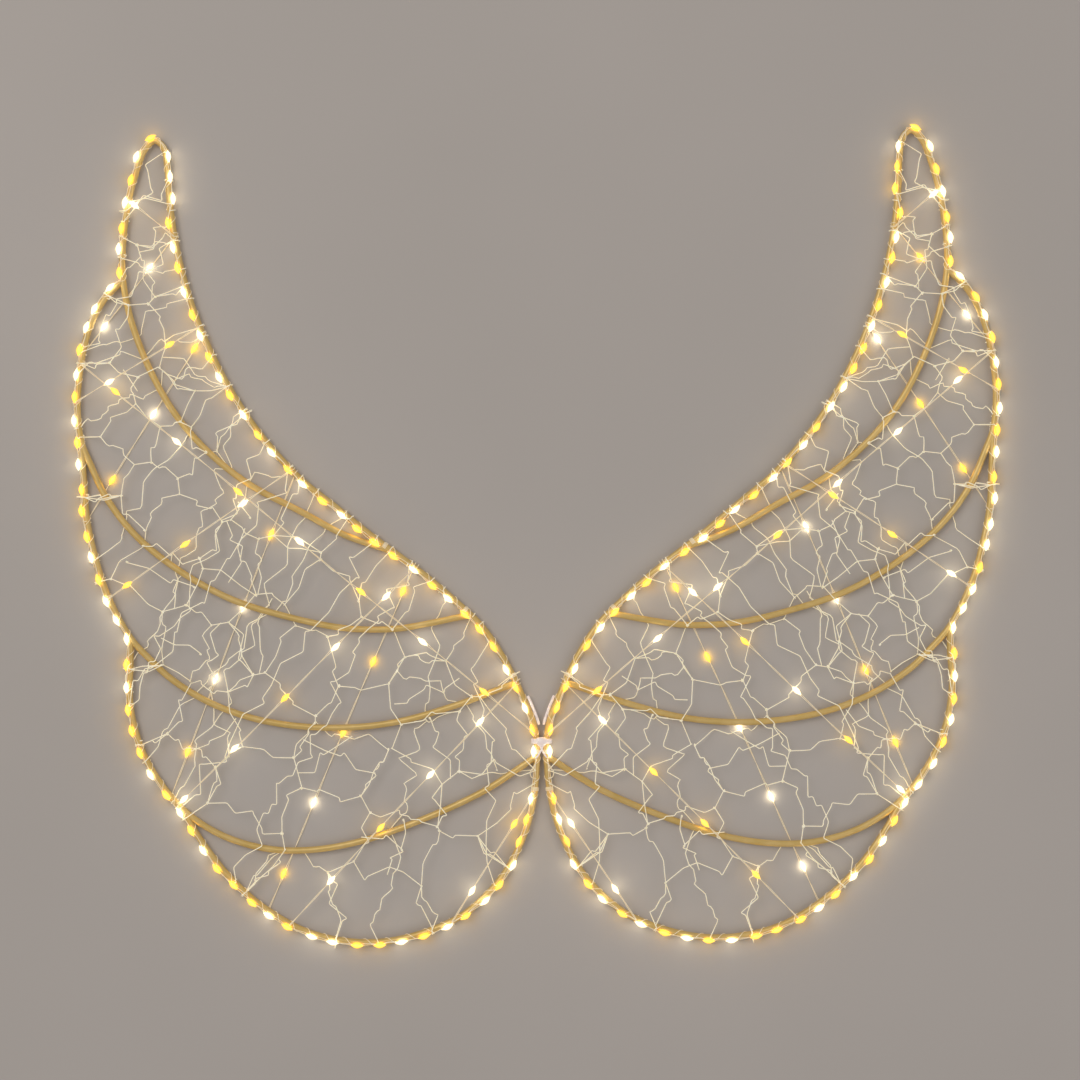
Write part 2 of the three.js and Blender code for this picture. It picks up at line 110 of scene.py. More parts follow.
# The straight strands of lights: their ends as shares of the way round the outline, their height, the first
# and last drop as shares of the strand, and the tones of its drops, a for amber and w for warm white, on the
# left wing and on the right one.
STRANDS = {
    "a": {"ends": (0.186, 0.721), "z": 0.45, "drops": (0.19, 0.863), "left": "awwa", "right": "wwaa"},
    "b": {"ends": (0.727, 0.109), "z": 7.55, "drops": (0.027, 0.88), "left": "wwaww", "right": "wawaw"},
    "c": {"ends": (0.11, 0.797), "z": 0.45, "drops": (0.071, 0.894), "left": "aaawa", "right": "aawww"},
    "d": {"ends": (0.031, 0.81), "z": 7.55, "drops": (0.159, 0.817), "left": "wwaw", "right": "waaa"},
    "e": {"ends": (0.004, 0.494), "z": 8.75, "drops": (0.113, 0.922), "left": "awawawa", "right": "awwawww"},
    "f": {"ends": (0.188, 0.614), "z": 7.55, "drops": (0.26, 0.894), "left": "waa", "right": "aaw"},
    "g": {"ends": (0.27, 0.573), "z": 0.45, "drops": (0.074, 0.785), "left": "awa", "right": "waa"},
    "h": {"ends": (0.322, 0.489), "z": 0.45, "drops": (0.279, 0.773), "left": "ww", "right": "aw"},
    "i": {"ends": (0.274, 0.514), "z": 7.55, "drops": (0.239, 0.733), "left": "aw", "right": "aa"},
    "j": {"ends": (0.321, 0.406), "z": 7.55, "drops": (0.861, 0.861), "left": "w", "right": "w"},
    "k": {"ends": (0.975, 0.895), "z": 7.55, "drops": (0.25, 0.765), "left": "aw", "right": "ww"},
}

# The rows of meshes of the web, and how uneven they are.
WEB_ROWS = [
    (0.08, 2), (0.155, 4), (0.23, 6), (0.305, 6), (0.38, 6), (0.45, 6), (0.52, 5),
    (0.585, 5), (0.65, 4), (0.71, 4), (0.77, 3), (0.83, 2), (0.885, 2), (0.94, 1),
]
WEB_UNEVENNESS = 0.55
SECOND_WIRES = 0.18
LONG_WIRES = 18
LONG_WIRE_CROWDING = 0.75
LONG_WIRE_SPAN = (0.1, 0.97)
LONG_WIRE_SLANT = 0.09
HOOKED_ENDS = 0.4
HOOK_REACH = (0.0, 0.9)
LOOSE_ENDS = 0.05
CROSSED_GAPS = 0.45
WIDE_GAP = 42.0
BIT_LENGTHS = (8.0, 15.0)
LEAN = 0.15
JOGGED_BENDS = 0.6
JOGS = (1.2, 3.4)
JOG_RUNS = (0.3, 2.2)
BIT_SHIFT = 0.25
BEND_RADIUS = 1.1
SHORTEST_RUN = 3.0
CROSS_WIRE_LENGTHS = (16.0, 90.0)
LOOSE_REACH = (0.4, 0.7)
HOOK_TURNS = ((0.0, 0.0), (0.4, 0.35), (0.0, 0.7), (-1.1, 0.6))

# How the web's wires lie: most over the ribs, the others under them, each a little uneven in height.
WEB_WIRE_SIDES = 6
BEHIND_SHARE = 0.4
WEB_Z_SHIFT = (-0.15, 0.2)
HEIGHT_WANDER = 0.25
WANDER_STEP = 2.5
RIB_ROOM = 4.0
RIB_SLOPE = 9.0

# The windings of wire ends round the outline rod, and the room near the tie that is left free of them.
WRAP_STEPS = 12
WRAP_OFF_ROD = 0.5
WRAP_TURNS = (0.6, 1.1)
WRAP_CREEP = (0.9, 2.2)
TIGHT_LOOPS = (0.1, 0.5)
LOOSE_LOOPS = (1.3, 3.0)
LOOSE_SHARE = 0.16
FOOT_ROOM = 9.0

# The shares of the outline between which its drops lie on the outer side of the rod, and those just under
# the tie between which it has none. Each drop is a little off its even place, and turned up from the wing's
# plane by an angle between these degrees. Now and then its tone slips.
OUTSIDE_DROPS = (0.33, 0.945)
BARE_STRETCH = (0.979, 0.994)
EDGE_DROP_SHIFT = 1.3
EDGE_DROP_ANGLES = (42, 66)
TONE_SLIPS = 0.12

# How the pair of wires of a straight strand twists and wanders, parts round its drops and ends on the rods.
STRAND_STEP = 2.0
STRAND_TWIST = 9
STRAND_PARTING = 0.5
STRAND_FLATNESS = 0.6
STRAND_WANDER = 0.35
STRAND_WANDER_LENGTH = 31
STRAND_WRAP = 0.3
OFF_FLOOR = 0.02

# The wire that is wound along the outline rod, and the tight coils that hold the ends of the ribs and of
# the string.
WOUND_WIRE_PITCH = 13.0
COIL_TURNS = 4.5
COIL_STEPS = 12
COIL_PITCH = 0.55
COIL_BESIDE_RIB = 4.4
STRING_END_COIL = 0.976

# The seeds of what is left to chance.
EDGE_WIRE_SEED = 3
EDGE_DROP_SEED = 5
WEB_SEED = 11
STRAND_SEED = 17
TONE_SEED = 21

WARM_WHITE = "white"
AMBER = "amber"
TONES = {"w": WARM_WHITE, "a": AMBER}


# Lines.

def unit(vector):
    return vector / max(np.linalg.norm(vector), 1e-9)


def smooth(points, step):
    """Points about a step apart on the smooth curve through the given ones."""
    points = [np.array(point, float) for point in points]
    ends = [2 * points[0] - points[1], *points, 2 * points[-1] - points[-2]]
    found = [points[0]]
    for before, start, end, after in zip(ends, ends[1:], ends[2:], ends[3:]):
        first = max(math.sqrt(np.linalg.norm(start - before)), 1e-4)
        middle = max(math.sqrt(np.linalg.norm(end - start)), 1e-4)
        last = max(math.sqrt(np.linalg.norm(after - end)), 1e-4)
        leaving = (start - before) / first - (end - before) / (first + middle) + (end - start) / middle
        arriving = (end - start) / middle - (after - start) / (middle + last) + (after - end) / last
        leaving, arriving = leaving * middle, arriving * middle
        square = -3 * start + 3 * end - 2 * leaving - arriving
        cube = 2 * start - 2 * end + leaving + arriving
        count = max(1, math.ceil(np.linalg.norm(end - start) / step))
        for place in range(1, count + 1):
            share = place / count
            found.append(start + share * (leaving + share * (square + share * cube)))
    return np.array(found)


class Line:
    """A line through points that can be asked for the place and heading at a distance along it."""

    def __init__(self, points):
        self.points = np.array(points, float)
        steps = np.linalg.norm(np.diff(self.points, axis=0), axis=1)
        self.reached = np.concatenate([[0], np.cumsum(steps)])
        self.length = self.reached[-1]

    def at(self, distance):
        distance = min(max(distance, 0), self.length)
        end = min(max(int(np.searchsorted(self.reached, distance)), 1), len(self.points) - 1)
        share = (distance - self.reached[end - 1]) / (self.reached[end] - self.reached[end - 1])
        return self.points[end - 1] * (1 - share) + self.points[end] * share

    def heading(self, distance):
        return unit(self.at(distance + 1) - self.at(distance - 1))

    def inward(self, distance):
        """The direction into the left wing, in its plane, for a line that goes round it from the foot."""
        ahead = self.heading(distance)
        return np.array([-ahead[1], ahead[0], 0.0])

    def resampled(self, step):
        count = max(1, math.ceil(self.length / step))
        return np.array([self.at(self.length * place / count) for place in range(count + 1)])


def wing_point(shares):
    out, up = shares
    height = up * (WING_RISE if up > 0 else WING_DROP)
    return np.array([-(FOOT_X + out * WING_REACH), height, ROD_Z])


def rod_lines():
    """Each rod's smooth centre line, and the outline that they make together."""
    lines = []
    outline = [wing_point((0, 0))]
    joint = None
    for feather in FEATHERS:
        outer = [wing_point(shares) for shares in feather["outer"]]
        rib = [wing_point(shares) for shares in feather["rib"]]
        start = [] if joint is None else [joint]
        points = [*start, *outer, *rib]
        line = smooth(points, ROD_STEP)
        end = int(np.argmin(np.linalg.norm(line - outer[-1], axis=1)))
        outline.extend(line[1:end + 1])
        lines.append((line, end))
        joint = outer[-1]
    return lines, Line(outline)


RODS, OUTLINE = rod_lines()
RIBS = [line[end:] for line, end in RODS if end < len(line) - 1]
TIP_SHARE = OUTLINE.reached[int(np.argmax(OUTLINE.points[:, 1]))] / OUTLINE.length


def distance_to(points, line):
    """How far each point is from a line, in the wing's plane."""
    gaps = np.asarray(points)[:, None, :2] - np.asarray(line)[None, :, :2]
    return np.sqrt((gaps ** 2).sum(axis=2)).min(axis=1)


# Meshes.

class Shape:
    """Corners and faces gathered for one mesh."""

    def __init__(self):
        self.corners = []
        self.faces = []

    def add(self, corners, faces):
        start = sum(len(block) for block in self.corners)
        self.corners.append(np.asarray(corners, float))
        self.faces.extend([tuple(start + corner for corner in face) for face in faces])

    def rings(self, rings, closed=False):
        """A skin over rings of corners, capped at both ends unless it is closed on itself."""
        sides = len(rings[0])
        count = len(rings)
        faces = []
        for ring in range(count if closed else count - 1):
            following = (ring + 1) % count
            for side in range(sides):
                other = (side + 1) % sides
                faces.append((
                    ring * sides + side, ring * sides + other,
                    following * sides + other, following * sides + side,
                ))
        if not closed:
            faces.append(tuple(reversed(range(sides))))
            faces.append(tuple((count - 1) * sides + side for side in range(sides)))
        self.add(np.concatenate(rings), faces)

    def tube(self, points, radius, sides):
        """A round tube along points. The radius may be one number or one for each point."""
        points = np.asarray(points, float)
        radii = np.broadcast_to(radius, len(points))
        circle = np.linspace(0, 2 * math.pi, sides, endpoint=False)
        rings = []
        for point, width, (across, over) in zip(points, radii, frames(points)):
            ring = np.outer(np.cos(circle), across) + np.outer(np.sin(circle), over)
            rings.append(point + ring * width)
        self.rings(rings)

    def drop(self, centre, heading, across):
        """One drop of resin, pointed at both ends where the wires go in."""
        over = np.cross(heading, across)
        circle = np.linspace(0, 2 * math.pi, DROP_SIDES, endpoint=False)
        rings = []
        for share in np.linspace(*DROP_SPAN, DROP_RINGS):
            swell = math.sin(math.pi * share) ** DROP_ROUNDNESS
            ring = (
                np.outer(np.cos(circle), across) * DROP_WIDTH / 2
                + np.outer(np.sin(circle), over) * DROP_THICKNESS / 2
            )
            rings.append(centre + heading * (share - 0.5) * DROP_LENGTH + ring * swell)
        self.rings(rings)

    def piece(self, name, side, material, slot, replaced=()):
        """Puts the shape in the scene on its side, riding on the frame."""
        corners = placed(np.concatenate(self.corners), side)
        faces = self.faces if side == "left" else [tuple(reversed(face)) for face in self.faces]
        mesh = bpy.data.meshes.new(name)
        mesh.from_pydata([tuple(corner) for corner in corners], [], faces)
        mesh.polygons.foreach_set("use_smooth", [True] * len(mesh.polygons))
        mesh.materials.append(material)
        mesh.update()
        piece = bpy.data.objects.new(name, mesh)
        bpy.context.scene.collection.objects.link(piece)
        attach(piece, "root")
        if replaced:
            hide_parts(*replaced)
        return piece


def frames(points):
    """Two directions square to the line at each point, turning as little as possible along it."""
    steps = np.diff(points, axis=0)
    steps = steps / np.maximum(np.linalg.norm(steps, axis=1), 1e-9)[:, None]
    headings = np.concatenate([steps[:1], steps[:-1] + steps[1:], steps[-1:]])
    found = []
    across = np.array([0.0, 0.0, 1.0])
    if abs(unit(headings[0])[2]) > 0.9:
        across = np.array([1.0, 0.0, 0.0])
    for heading in headings:
        heading = unit(heading)
        across = unit(across - heading * across.dot(heading))
        found.append((across, np.cross(heading, across)))
    return found


def placed(corners, side):
    """Corners of the left wing put on their side, in metres in the frame."""
    moved = np.array(corners, float)
    if side == "right":
        moved[:, 0] = -moved[:, 0]
        cos, sin = math.cos(RIGHT_WING_TURN), math.sin(RIGHT_WING_TURN)
        x, y = moved[:, 0].copy(), moved[:, 1].copy()
        moved[:, 0] = x * cos - y * sin
        moved[:, 1] = x * sin + y * cos
    moved[:, 0] += TIE_PLACE[0]
    moved[:, 1] += TIE_PLACE[1]
    return moved * MM


# Materials.

def new_material(name):
    material = bpy.data.materials.new(name)
    material.use_nodes = True
    nodes = material.node_tree.nodes
    return material, nodes, material.node_tree.links, nodes["Principled BSDF"]


def noise(nodes, links, scale, detail):
    place = nodes.new("ShaderNodeTexCoord")
    texture = nodes.new("ShaderNodeTexNoise")
    texture.inputs["Scale"].default_value = scale
    texture.inputs["Detail"].default_value = detail
    links.new(place.outputs["Object"], texture.inputs["Vector"])
    return texture


def ramp(nodes, links, source, low, high, start=0.3, end=0.7):
    """A colour that runs from low to high as the source rises."""
    colours = nodes.new("ShaderNodeValToRGB")
    colours.color_ramp.elements[0].position = start
    colours.color_ramp.elements[1].position = end
    colours.color_ramp.elements[0].color = (*low, 1)
    colours.color_ramp.elements[1].color = (*high, 1)
    links.new(source, colours.inputs["Fac"])
    return colours.outputs["Color"]


def between(nodes, links, source, low, high):
    """A number that runs from low to high as the source rises from 0 to 1."""
    spread = nodes.new("ShaderNodeMapRange")
    spread.inputs["To Min"].default_value = low
    spread.inputs["To Max"].default_value = high
    links.new(source, spread.inputs["Value"])
    return spread.outputs["Result"]


def bumped(nodes, links, shader, source, strength, distance):
    bump = nodes.new("ShaderNodeBump")
    bump.inputs["Strength"].default_value = strength
    bump.inputs["Distance"].default_value = distance
    links.new(source, bump.inputs["Height"])
    links.new(bump.outputs["Normal"], shader.inputs["Normal"])


def metal(name, low, high, metallic, roughness, scale, bump, painted_glow=0.0):
    """Painted or bare metal with a mottled colour and an uneven sheen. The painted glow is a faint light
    that the metal gives off in its own colour, though it is no lamp: painted light standing in for the light
    of the drops that runs along fine bright wire."""
    material, nodes, links, shader = new_material(name)
    mottle = noise(nodes, links, scale, 6)
    grain = noise(nodes, links, scale * 9, 3)
    colour = ramp(nodes, links, mottle.outputs["Fac"], low, high)
    links.new(colour, shader.inputs["Base Color"])
    links.new(colour, shader.inputs["Emission Color"])
    # Painted glow: the metal gives off light in its own colour, standing in for the drops' light along the
    # wire.
    shader.inputs["Emission Strength"].default_value = painted_glow
    links.new(between(nodes, links, grain.outputs["Fac"], *roughness), shader.inputs["Roughness"])
    bumped(nodes, links, shader, grain.outputs["Fac"], bump, 0.0002)
    shader.inputs["Metallic"].default_value = metallic
    return material


def lit_resin(name, core, rim, seen, cast):
    """A drop of resin lit from within: brightest where it is looked into, and tinted towards its edge. Seen
    is how bright it looks, and cast how strongly it lights what lies round it."""
    material, nodes, links, shader = new_material(name)
    facing = nodes.new("ShaderNodeLayerWeight")
    facing.inputs["Blend"].default_value = 0.45
    haze = noise(nodes, links, 900, 2)
    glow = ramp(nodes, links, facing.outputs["Facing"], core, rim, 0.05, 0.7)
    links.new(glow, shader.inputs["Emission Color"])
    links.new(glow, shader.inputs["Base Color"])
    path = nodes.new("ShaderNodeLightPath")
    strength = nodes.new("ShaderNodeMix")
    strength.inputs["A"].default_value = cast
    links.new(path.outputs["Is Camera Ray"], strength.inputs["Factor"])
    links.new(between(nodes, links, haze.outputs["Fac"], seen * 0.8, seen * 1.2), strength.inputs["B"])
    links.new(strength.outputs["Result"], shader.inputs["Emission Strength"])
    shader.inputs["Roughness"].default_value = 0.18
    return material


def milky_plastic(name):
    material, nodes, links, shader = new_material(name)
    haze = noise(nodes, links, 220, 2)
    colour = ramp(nodes, links, haze.outputs["Fac"], (0.88, 0.78, 0.76), (0.97, 0.9, 0.88))
    links.new(colour, shader.inputs["Base Color"])
    links.new(between(nodes, links, haze.outputs["Fac"], 0.15, 0.4), shader.inputs["Roughness"])
    bumped(nodes, links, shader, haze.outputs["Fac"], 0.05, 0.0002)
    # Painted glow: the plastic of the tie and the sleeves gives off a faint light in its own colour, though
    # it is no lamp.
    links.new(colour, shader.inputs["Emission Color"])
    shader.inputs["Emission Strength"].default_value = 0.15
    shader.inputs["Transmission Weight"].default_value = 0.15
    return material


def pale_floor(name):
    material, nodes, links, shader = new_material(name)
    cloud = noise(nodes, links, 2.2, 3)
    colour = ramp(nodes, links, cloud.outputs["Fac"], (0.49, 0.455, 0.43), (0.53, 0.49, 0.465))
    links.new(colour, shader.inputs["Base Color"])
    shader.inputs["Roughness"].default_value = 0.75
    return material


GOLD = metal("gold_paint", (0.70, 0.48, 0.15), (0.80, 0.57, 0.22), 0.3, (0.28, 0.42), 110, 0.08)
# The web's wire and the fine wire glow faintly of their own: painted light standing in for the light of the
# drops along them.
WEB_WIRE = metal("champagne_wire", (0.96, 0.84, 0.58), (1.0, 0.95, 0.77), 0.0, (0.25, 0.45), 300, 0.2, 0.22)
FINE_WIRE = metal("light_wire", (0.9, 0.75, 0.5), (0.99, 0.89, 0.68), 0.1, (0.25, 0.4), 400, 0.15, 0.15)
RESIN = {
    WARM_WHITE: lit_resin("warm_white_drop", (1.0, 0.94, 0.76), (0.95, 0.76, 0.38), 1.2, 6.0),
    AMBER: lit_resin("amber_drop", (1.0, 0.66, 0.1), (0.88, 0.46, 0.02), 1.15, 5.0),
}
CLEAR = milky_plastic("milky_plastic")


# The gold rods.

def gold_rods():
    shape = Shape()
    for line, _ in RODS:
        shape.tube(line, ROD_RADIUS, ROD_SIDES)
    for side in SIDES:
        nodes = [f"wing_rod_{side}_{number}" for number in range(1, len(RODS) + 1)]
        shape.piece(f"gold_rods_{side}", side, GOLD, "gold_rod", nodes)


# The crinkled web.

def unevenness(row, mesh, kind):
    """An even spread between -0.5 and 0.5 that is the same every time."""
    mixed = math.sin(row * 12.9898 + mesh * 78.233 + kind * 37.719) * 43758.5453
    return mixed - math.floor(mixed) - 0.5


def mesh_middles():
    middles = []
    row_step = 1 / (len(WEB_ROWS) + 1)
    for row, (share, meshes) in enumerate(WEB_ROWS):
        for mesh in range(meshes):
            place = share + unevenness(row, mesh, 1) * WEB_UNEVENNESS * row_step
            part = (mesh + 0.5 + unevenness(row, mesh, 2) * WEB_UNEVENNESS) / meshes
            front = OUTLINE.at(place * TIP_SHARE * OUTLINE.length)[:2]
            far = OUTLINE.at((1 - place * (1 - TIP_SHARE)) * OUTLINE.length)[:2]
            middles.append(front + (far - front) * part)
    return middles


def inside(points):
    """Which points of the plane are inside the outline."""
    x, y = np.asarray(points)[:, 0, None], np.asarray(points)[:, 1, None]
    x1, y1 = OUTLINE.points[:-1, 0], OUTLINE.points[:-1, 1]
    x2, y2 = OUTLINE.points[1:, 0], OUTLINE.points[1:, 1]
    passed = (y1 > y) != (y2 > y)
    slope = (x2 - x1) / np.where(y2 == y1, 1, y2 - y1)
    crossings = passed & (x < x1 + (y - y1) * slope)
    return crossings.sum(axis=1) % 2 == 1


def cut_flat(corners, point, way):
    kept = []
    for corner, following in zip(corners, [*corners[1:], corners[0]]):
        depth, next_depth = (corner - point).dot(way), (following - point).dot(way)
        if depth <= 0:
            kept.append(corner)
        if depth * next_depth < 0:
            kept.append(corner + (following - corner) * depth / (depth - next_depth))
    return kept


def mesh_gaps(middles):
    """The corners of the part of the plane round each middle that is nearer to it than to any other."""
    gaps = []
    for middle in middles:
        corners = [middle + WING_REACH * np.array(turn) for turn in ((-1, -1), (1, -1), (1, 1), (-1, 1))]
        for other in middles:
            if other is not middle:
                corners = cut_flat(corners, (other + middle) / 2, unit(other - middle))
        gaps.append(corners)
    return gaps


def inner_part(start, end):
    """The first part of a straight line that lies inside the outline, or nothing."""
    shares = np.linspace(0, 1, 200)
    kept = np.flatnonzero(inside(start + np.outer(shares, end - start)))
    if len(kept) == 0:
        return None
    breaks = np.flatnonzero(np.diff(kept) > 1)
    last = kept[breaks[0]] if len(breaks) else kept[-1]
    low, high = shares[kept[0]], shares[last]
    return start + (end - start) * low, start + (end - start) * high, low > 0, high < 1


def web_lines(gaps):
    """Each straight run of the web once: its two ends, and whether each end is on the outline."""
    found = {}
    for corners in gaps:
        for start, end in zip(corners, [*corners[1:], corners[0]]):
            middle = tuple(np.round((start + end) / 2, 1))
            part = inner_part(start, end)
            if part is not None and np.linalg.norm(part[1] - part[0]) > SHORTEST_RUN:
                found[middle] = part
    return list(found.values())


def crinkled(start, end, chance):
    """A run of wire from start to end, in straight bits with small sideways jogs between them."""
    run = end - start
    length = np.linalg.norm(run)
    ahead = unit(run)
    aside = np.array([-ahead[1], ahead[0]])
    bits = max(1, round(length / chance.uniform(*BIT_LENGTHS)))
    points = [start]
    for bit in range(1, bits):
        place = start + run * (bit + chance.uniform(-BIT_SHIFT, BIT_SHIFT)) / bits
        lean = chance.uniform(-LEAN, LEAN) * min(length, WIDE_GAP)
        points.append(place + aside * lean)
        if chance.random() < JOGGED_BENDS:
            jog = chance.choice((-1, 1)) * chance.uniform(*JOGS)
            points.append(place + aside * (lean + jog) + ahead * chance.uniform(*JOG_RUNS))
    points.append(end)
    return points


def rounded(points, radius):
    """The points with each corner cut into two close ones, as bent wire has."""
    found = [points[0]]
    for before, corner, after in zip(points, points[1:], points[2:]):
        reach = min(radius, np.linalg.norm(before - corner) / 3, np.linalg.norm(after - corner) / 3)
        back, on = unit(before - corner) * reach, unit(after - corner) * reach
        found.extend([corner + back, corner + (back + on) * 0.25, corner + on])
    found.append(points[-1])
    return found


def hook(point, ahead, chance):
    """The end of a wire, hooked once round the one that it meets or lying just across it."""
    aside = np.array([-ahead[1], ahead[0]]) * chance.choice((-1, 1))
    reach = chance.uniform(*HOOK_REACH)
    turns = HOOK_TURNS[:1] if chance.random() > HOOKED_ENDS else HOOK_TURNS
    return [point + ahead * (reach + on) + aside * off for on, off in turns]


def wrap(point, chance, out=1.0):
    """The end of a wire, wound round the outline rod where it meets it. By the tie there is no room for it
    between the two wings, and the wire ends on the rod."""
    if abs(point[0]) < FOOT_ROOM:
        return []
    nearest = int(np.argmin(np.linalg.norm(OUTLINE.points[:, :2] - point[:2], axis=1)))
    turns = chance.uniform(*WRAP_TURNS)
    creep = chance.choice((-1, 1)) * chance.uniform(*WRAP_CREEP)
    loops = LOOSE_LOOPS if chance.random() < LOOSE_SHARE else TIGHT_LOOPS
    bulge = chance.uniform(*loops) * out
    radius = ROD_RADIUS + WRAP_OFF_ROD
    found = []
    for step in range(int(WRAP_STEPS * turns)):
        share = step / WRAP_STEPS
        angle = math.pi / 2 + share * 2 * math.pi
        place = OUTLINE.reached[nearest] + creep * share
        wide = radius + (bulge if math.cos(angle) < 0 else 0)
        aside = OUTLINE.inward(place) * math.cos(angle) * wide
        found.append(OUTLINE.at(place) + aside + np.array([0, 0, radius * math.sin(angle)]))
    return found


def lifted(points, level, behind, chance):
    """Flat points given their height: over the ribs, or for a wire that goes behind, under them."""
    flat = Line([(*point[:2], 0.0) for point in points]).resampled(WANDER_STEP) if behind else points
    flat = np.array([(*point[:2], level) for point in flat])
    flat[:, 2] += np.array([chance.uniform(-HEIGHT_WANDER, HEIGHT_WANDER) for _ in flat])
    if behind:
        near = np.min([distance_to(flat, rib) for rib in RIBS], axis=0)
        share = np.clip((near - RIB_ROOM) / RIB_SLOPE, 0, 1)
        ease = share * share * (3 - 2 * share)
        flat[:, 2] = BEHIND_Z + (flat[:, 2] - BEHIND_Z) * ease
    return flat


def web_wire(shape, run, chance):
    """One run of the web's wire with its hooks and windings."""
    start, end, start_out, end_out = run
    points = rounded(crinkled(start, end, chance), BEND_RADIUS)
    if not start_out:
        points = [*reversed(hook(points[0], unit(points[0] - points[1]), chance)), *points]
    if not end_out:
        points = [*points, *hook(points[-1], unit(points[-1] - points[-2]), chance)]
    behind = chance.random() < BEHIND_SHARE
    line = list(lifted(points, WEB_Z + chance.uniform(*WEB_Z_SHIFT), behind, chance))
    if start_out:
        line = [*reversed(wrap(start, chance)), *line]
    if end_out:
        line = [*line, *wrap(end, chance)]
    shape.tube(line, WEB_WIRE_RADIUS, WEB_WIRE_SIDES)


def cross_wires(gaps, chance):
    """Wires across the gaps, from the middle of one side towards the middle of another. A few end loose
    before they get there."""
    found = []
    shortest, longest = CROSS_WIRE_LENGTHS
    for corners in gaps:
        following = [*corners[1:], corners[0]]
        sides = np.array([(corner + other) / 2 for corner, other in zip(corners, following)])
        sides = sides[inside(sides)]
        count = len(sides)
        if count < 3:
            continue
        if chance.random() > CROSSED_GAPS:
            continue
        first = chance.randrange(count)
        for step in range(2):
            start = sides[(first + step) % count]
            end = sides[(first + step + count // 2) % count]
            if not shortest < np.linalg.norm(end - start) < longest:
                continue
            if step > 0 and np.linalg.norm(end - start) < WIDE_GAP:
                continue
            if chance.random() < LOOSE_ENDS:
                end = start + (end - start) * chance.uniform(*LOOSE_REACH)
            found.append((start, end, False, False))
    return found


def second_wires(runs, chance):
    """Wires that run beside others between the same two places."""
    return [run for run in runs if chance.random() < SECOND_WIRES]


def long_wires(chance):
    """Wires that wander right across the wing, from the leading edge to the far side."""
    found = []
    for place in np.linspace(*LONG_WIRE_SPAN, LONG_WIRES) ** LONG_WIRE_CROWDING:
        other = place + chance.uniform(-LONG_WIRE_SLANT, LONG_WIRE_SLANT)
        start = OUTLINE.at(place * TIP_SHARE * OUTLINE.length)[:2]
        end = OUTLINE.at((1 - other * (1 - TIP_SHARE)) * OUTLINE.length)[:2]
        part = inner_part(start, end)
        if part is not None:
            found.append((part[0], part[1], True, True))
    return found


def crinkled_web():
    chance = random.Random(WEB_SEED)
    shape = Shape()
    gaps = mesh_gaps(mesh_middles())
    runs = web_lines(gaps)
    extra = [*second_wires(runs, chance), *cross_wires(gaps, chance), *long_wires(chance)]
    for run in [*runs, *extra]:
        web_wire(shape, run, chance)
    for side in SIDES:
        shape.piece(f"crinkled_web_{side}", side, WEB_WIRE, "web_wire", [f"crinkle_web_{side}"])


# The strings of lights.

def drop_stretch(distances, distance):
    """How near a place on a string is to one of its drops: 1 at a drop, 0 well away from all."""
    gap = min(abs(distance - drop) for drop in distances)
    return max(0.0, 1 - gap / DROP_LENGTH)


def strand_line(strand):
    start, end = (OUTLINE.at(share * OUTLINE.length) for share in strand["ends"])
    return Line([(*start[:2], strand["z"]), (*end[:2], strand["z"])])


def strand_drops(strand, line):
    return line.length * np.linspace(*strand["drops"], len(strand["left"]))


def strand_wires(shape, strand, chance):
    """The strand's pair of fine wires, which part round each drop and are wound on the rods at both ends."""
    line = strand_line(strand)
    drops = strand_drops(strand, line)
    ahead = line.heading(line.length / 2)
    aside = np.array([-ahead[1], ahead[0], 0.0])
    turn = chance.uniform(0, math.pi)
    for way in (-1, 1):
        points = []
        for distance in np.arange(0, line.length + STRAND_STEP, STRAND_STEP):
            near = drop_stretch(drops, distance)
            angle = distance / STRAND_TWIST + turn
            spread = way * (FINE_WIRE_SPREAD * math.cos(angle) + near * STRAND_PARTING)
            rise = way * FINE_WIRE_SPREAD * STRAND_FLATNESS * math.sin(angle)
            height = max(strand["z"], LOWEST_DROP_Z * near)
            wander = STRAND_WANDER * math.sin(distance / STRAND_WANDER_LENGTH + turn)
            place = line.at(distance) + aside * (spread + wander)
            points.append(np.array([*place[:2], max(height + rise, FINE_WIRE_RADIUS + OFF_FLOOR)]))
        first = wrap(points[0], chance, STRAND_WRAP)
        last = wrap(points[-1], chance, STRAND_WRAP)
        points = [*reversed(first), *points, *last]
        shape.tube(points, FINE_WIRE_RADIUS, FINE_WIRE_SIDES)


def edge_drops():
    """Where the drops of the outline's string are: the distance along it and the way off the rod."""
    count = round(OUTLINE.length / EDGE_DROP_PITCH)
    chance = random.Random(EDGE_DROP_SEED)
    found = []
    for number in range(count):
        distance = OUTLINE.length * (number + 0.5) / count
        distance += chance.uniform(-EDGE_DROP_SHIFT, EDGE_DROP_SHIFT)
        share = distance / OUTLINE.length
        if BARE_STRETCH[0] < share < BARE_STRETCH[1]:
            continue
        way = -1 if OUTSIDE_DROPS[0] < share < OUTSIDE_DROPS[1] else 1
        angle = math.radians(chance.uniform(*EDGE_DROP_ANGLES))
        found.append((distance, way, angle))
    return found


EDGE_DROPS = edge_drops()


def edge_place(distance, way, angle, off):
    """A place round the outline rod, off its surface, at an angle up from the wing's plane."""
    around = OUTLINE.inward(distance) * way * math.cos(angle) + np.array([0, 0, math.sin(angle)])
    return OUTLINE.at(distance) + around * (ROD_RADIUS + off)


def drops_side(distance):
    """The angle round the rod at which the string's drops lie, passing smoothly from each to the next."""
    places = [drop[0] for drop in EDGE_DROPS]
    angles = [angle if way > 0 else math.pi - angle for _, way, angle in EDGE_DROPS]
    return np.interp(distance, places, angles)


